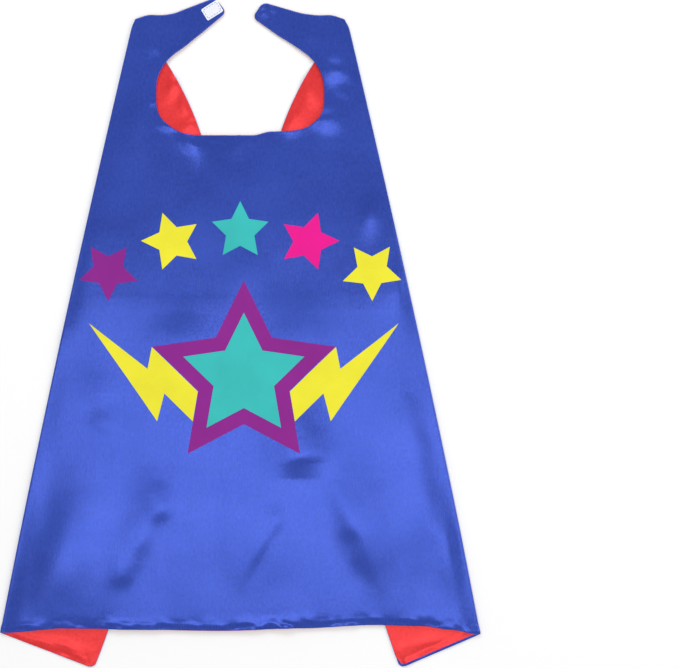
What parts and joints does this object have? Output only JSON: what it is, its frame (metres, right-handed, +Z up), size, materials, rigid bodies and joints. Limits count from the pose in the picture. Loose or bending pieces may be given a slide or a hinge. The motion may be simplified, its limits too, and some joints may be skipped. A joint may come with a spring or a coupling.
{
  "type": "superhero cape",
  "caption": "Two-layer satin cape laid flat with its sides folded under, with a neck opening, hook-and-loop neck tabs, and a star and bolt emblem.",
  "frame": {"origin": "bottom centre of the bounding box of the cape as it lies flat, sides folded under", "axes": "+Z up, away from the surface it lies on; +Y from the hem to the neck; +X to the right of someone who looks down on the shell with the neck away from them"},
  "size_m": [0.5316, 0.7354, 0.004],
  "materials": {
    "shell_satin": "smooth royal blue polyester satin with a lengthwise sheen",
    "lining_satin": "smooth bright red polyester satin",
    "seam_thread": "fine blue polyester sewing thread",
    "pad_thread": "fine blue polyester sewing thread",
    "hook_tape": "white nylon hook tape with rows of tiny hooks",
    "loop_tape": "white brushed nylon loop tape",
    "purple_film": "matte heat-pressed purple film",
    "teal_film": "matte heat-pressed teal film",
    "yellow_film": "matte heat-pressed yellow film",
    "pink_film": "matte heat-pressed pink film"
  },
  "bodies": {
    "back_panel": {"arc_star_film_1": "purple_film", "arc_star_film_2": "yellow_film", "arc_star_film_3": "teal_film", "arc_star_film_4": "pink_film", "arc_star_film_5": "yellow_film", "back_panel_lining": "lining_satin", "back_panel_seam_thread": "seam_thread", "back_panel_shell": "shell_satin", "hem_closing_stitches": "seam_thread", "left_bolt_film": "yellow_film", "right_bolt_film": "yellow_film", "star_border_film": "purple_film", "star_centre_film": "teal_film"},
    "left_side": {"left_side_lining": "lining_satin", "left_side_seam_thread": "seam_thread", "left_side_shell": "shell_satin"},
    "right_side": {"right_side_lining": "lining_satin", "right_side_seam_thread": "seam_thread", "right_side_shell": "shell_satin"},
    "left_tab": {"hook_pad": "hook_tape", "hook_pad_stitches": "pad_thread", "left_tab_lining": "lining_satin", "left_tab_seam_thread": "seam_thread", "left_tab_shell": "shell_satin"},
    "right_tab": {"loop_pad": "loop_tape", "loop_pad_stitches": "pad_thread", "right_tab_lining": "lining_satin", "right_tab_seam_thread": "seam_thread", "right_tab_shell": "shell_satin"}
  },
  "joints": [
    {"name": "left_fold", "type": "hinge", "parent": "back_panel", "child": "left_side", "pos_m": [-0.192, 0.01018, 0.0014], "axis": [0.2133, 0.977, 0], "range_deg": [0, 179.9]},
    {"name": "right_fold", "type": "hinge", "parent": "back_panel", "child": "right_side", "pos_m": [0.192, 0.01018, 0.0014], "axis": [0.2133, -0.977, 0], "range_deg": [0, 179.9]},
    {"name": "left_tab_bend", "type": "hinge", "parent": "back_panel", "child": "left_tab", "pos_m": [-0.0816, 0.33443, 0.0028], "axis": [0.4376, -0.8992, 0], "range_deg": [0, 120]},
    {"name": "right_tab_bend", "type": "hinge", "parent": "back_panel", "child": "right_tab", "pos_m": [0.0816, 0.33443, 0.0028], "axis": [0.4376, 0.8992, 0], "range_deg": [0, 120]}
  ]
}
